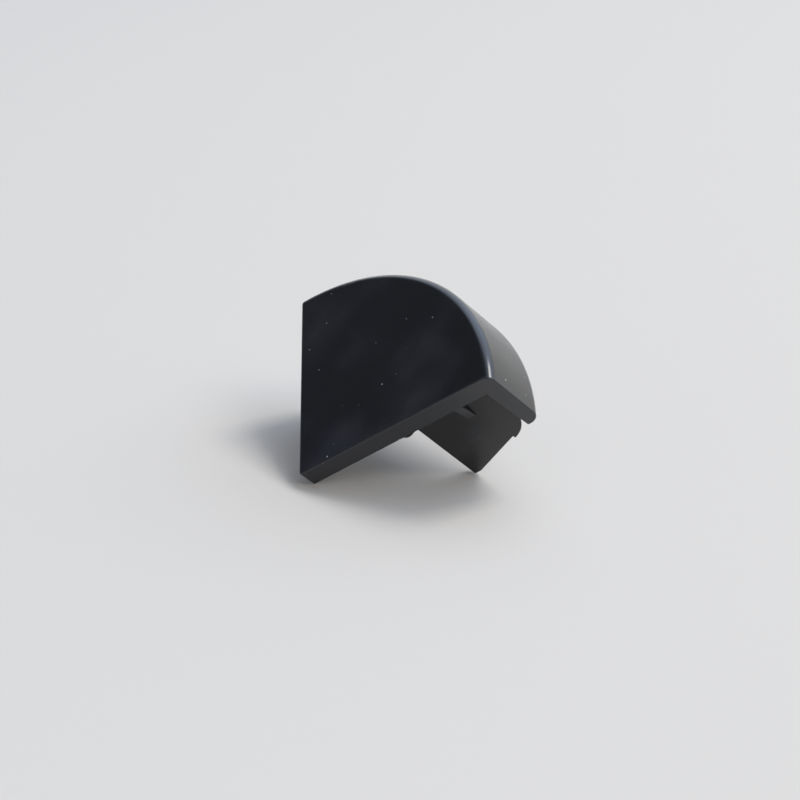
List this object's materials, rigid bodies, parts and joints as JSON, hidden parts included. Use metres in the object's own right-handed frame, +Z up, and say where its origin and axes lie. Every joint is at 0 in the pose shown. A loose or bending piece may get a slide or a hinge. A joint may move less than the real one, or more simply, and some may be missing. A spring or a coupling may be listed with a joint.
{
  "type": "profile end cap",
  "caption": "Quarter-round push-in end cap for a furniture profile: flat face plate, curved skirt along the arc and snap-in legs behind.",
  "frame": {"origin": "centre of the bounding box in X and Y, at the level of the surface the cap lies on", "axes": "+Z up, away from that surface; the cap leans on its heel and both leg tips, with its show face towards -Y and up; +X along the line between the two ends of the arc; the cap is symmetric about the plane X = 0"},
  "size_m": [0.0338, 0.0222, 0.0181],
  "materials": {
    "black_plastic": "smooth moulded black plastic, satin on the skirt and legs"
  },
  "bodies": {
    "root": {"end_cap": "black_plastic"}
  },
  "joints": []
}
